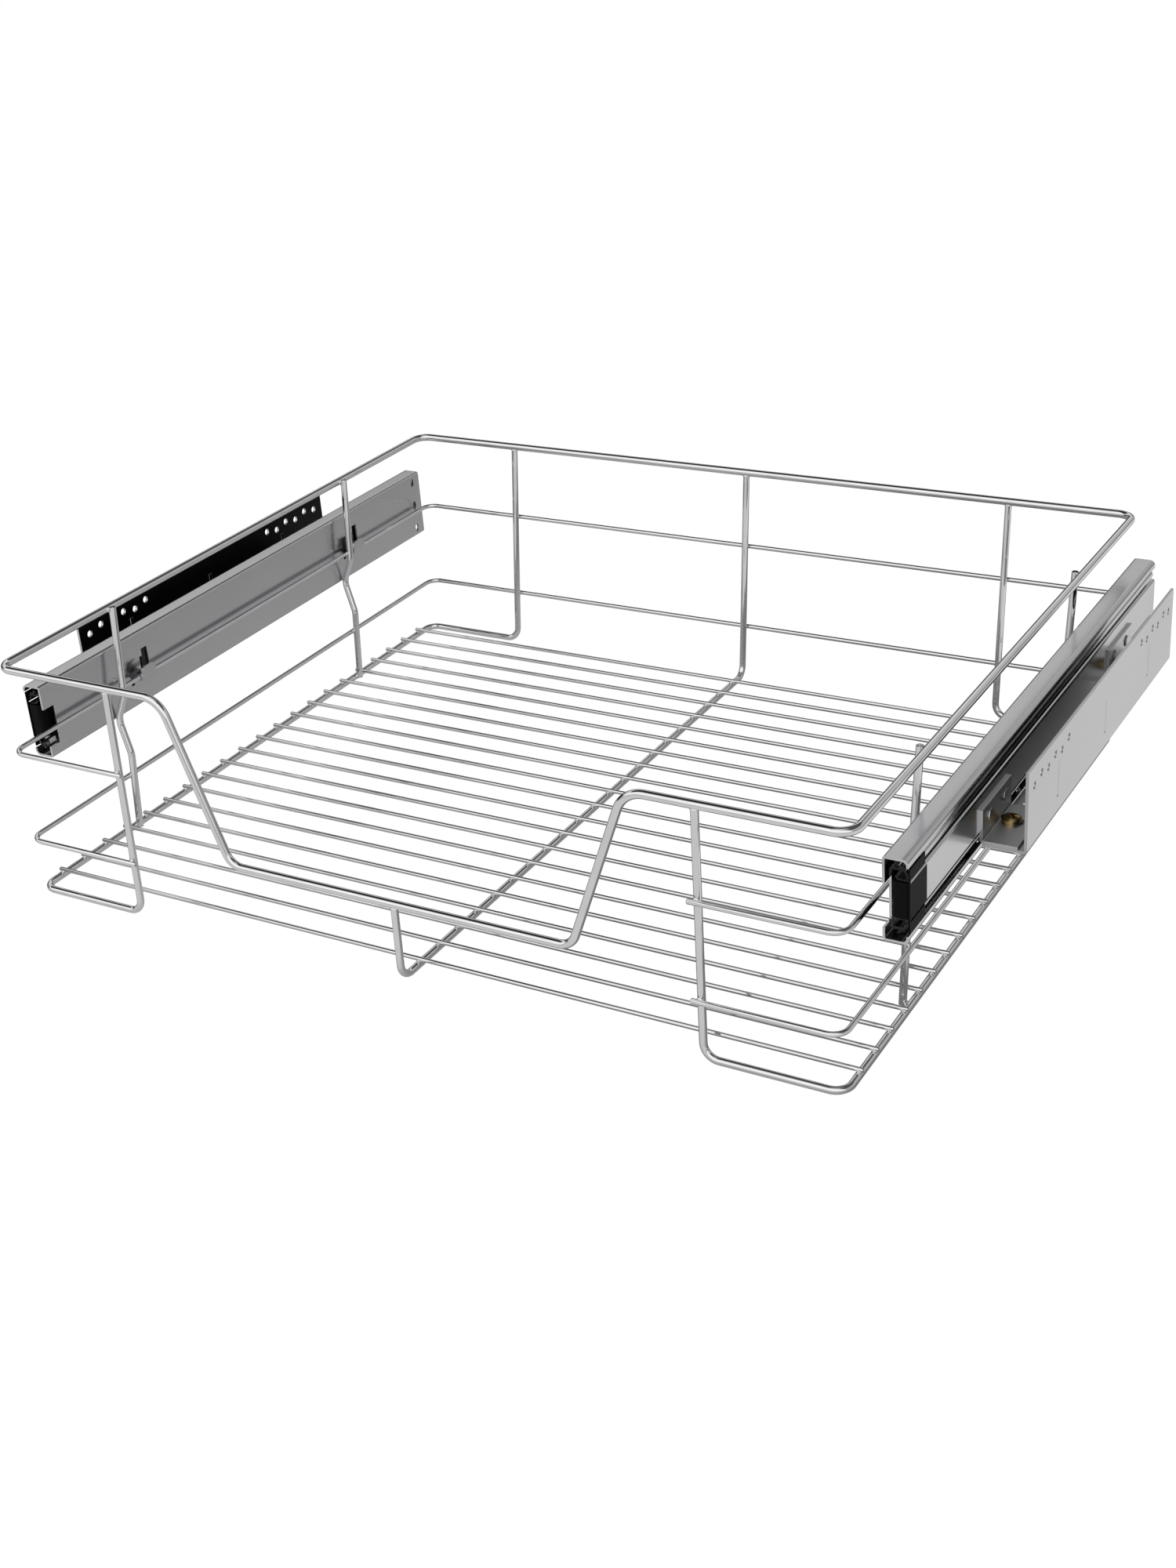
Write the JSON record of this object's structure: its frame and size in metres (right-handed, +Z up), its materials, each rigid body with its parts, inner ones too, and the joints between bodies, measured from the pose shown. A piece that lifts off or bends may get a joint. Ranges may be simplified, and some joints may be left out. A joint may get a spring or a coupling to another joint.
{
  "type": "pull out cabinet basket",
  "caption": "Welded wire basket with a dipped front that hangs in three-member ball-bearing runners on adjustable side brackets.",
  "frame": {"origin": "under the middle of the basket, on the plane that its base wires stand on", "axes": "+Z up, -Y the way the basket pulls out, +X to the right as seen by someone who faces the basket's front"},
  "size_m": [0.564, 0.4148, 0.1353],
  "materials": {
    "chrome_wire": "bright chrome plating",
    "runner_steel": "bright zinc plating",
    "bracket_steel": "bright zinc plating",
    "cage_steel": "thin strip with a black finish",
    "ball_steel": "polished steel",
    "rivet_steel": "bright zinc plating",
    "black_plastic": "satin moulded nylon",
    "screw_brass": "yellow zinc plating"
  },
  "bodies": {
    "fixed_runners": {"cabinet_member_left": "runner_steel", "front_buffer_left": "black_plastic", "runner_angles_left": "bracket_steel", "angle_rivets_left": "rivet_steel", "cabinet_member_right": "runner_steel", "front_buffer_right": "black_plastic", "runner_angles_right": "bracket_steel", "angle_rivets_right": "rivet_steel"},
    "basket": {"rim": "chrome_wire", "upper_ring": "chrome_wire", "lower_ring": "chrome_wire", "base_wire_left": "chrome_wire", "base_wire_right": "chrome_wire", "centre_wire": "chrome_wire", "floor_wires": "chrome_wire", "hanger_front_left": "chrome_wire", "hanger_rear_left": "chrome_wire", "hanger_front_right": "chrome_wire", "hanger_rear_right": "chrome_wire", "drawer_member_left": "runner_steel", "drawer_member_right": "runner_steel"},
    "middle_left": {"middle_member_left": "runner_steel"},
    "drawer_bearing_left": {"drawer_cage_left": "cage_steel", "drawer_balls_left": "ball_steel"},
    "cabinet_bearing_left": {"cabinet_cage_left": "cage_steel", "cabinet_balls_left": "ball_steel"},
    "bracket_left": {"wall_bracket_left": "bracket_steel", "adjusting_screws_left": "screw_brass", "adjusting_nuts_left": "rivet_steel"},
    "middle_right": {"middle_member_right": "runner_steel"},
    "drawer_bearing_right": {"drawer_cage_right": "cage_steel", "drawer_balls_right": "ball_steel"},
    "cabinet_bearing_right": {"cabinet_cage_right": "cage_steel", "cabinet_balls_right": "ball_steel"},
    "bracket_right": {"wall_bracket_right": "bracket_steel", "adjusting_screws_right": "screw_brass", "adjusting_nuts_right": "rivet_steel"}
  },
  "joints": [
    {"name": "basket_slide", "type": "slide", "parent": "fixed_runners", "child": "basket", "axis": [0, -1, 0], "range_m": [0, 0.32]},
    {"name": "middle_slide_left", "type": "slide", "parent": "fixed_runners", "child": "middle_left", "axis": [0, -1, 0], "range_m": [0, 0.16]},
    {"name": "drawer_bearing_slide_left", "type": "slide", "parent": "fixed_runners", "child": "drawer_bearing_left", "axis": [0, -1, 0], "range_m": [0, 0.24]},
    {"name": "cabinet_bearing_slide_left", "type": "slide", "parent": "fixed_runners", "child": "cabinet_bearing_left", "axis": [0, -1, 0], "range_m": [0, 0.08]},
    {"name": "bracket_width_left", "type": "slide", "parent": "fixed_runners", "child": "bracket_left", "axis": [-1, 0, 0], "range_m": [0, 0.006]},
    {"name": "middle_slide_right", "type": "slide", "parent": "fixed_runners", "child": "middle_right", "axis": [0, -1, 0], "range_m": [0, 0.16]},
    {"name": "drawer_bearing_slide_right", "type": "slide", "parent": "fixed_runners", "child": "drawer_bearing_right", "axis": [0, -1, 0], "range_m": [0, 0.24]},
    {"name": "cabinet_bearing_slide_right", "type": "slide", "parent": "fixed_runners", "child": "cabinet_bearing_right", "axis": [0, -1, 0], "range_m": [0, 0.08]},
    {"name": "bracket_width_right", "type": "slide", "parent": "fixed_runners", "child": "bracket_right", "axis": [1, 0, 0], "range_m": [0, 0.006]}
  ],
  "couplings": [
    {"joint": "middle_slide_left", "follows": "basket_slide", "ratio": 0.5},
    {"joint": "drawer_bearing_slide_left", "follows": "basket_slide", "ratio": 0.75},
    {"joint": "cabinet_bearing_slide_left", "follows": "basket_slide", "ratio": 0.25},
    {"joint": "middle_slide_right", "follows": "basket_slide", "ratio": 0.5},
    {"joint": "drawer_bearing_slide_right", "follows": "basket_slide", "ratio": 0.75},
    {"joint": "cabinet_bearing_slide_right", "follows": "basket_slide", "ratio": 0.25}
  ]
}
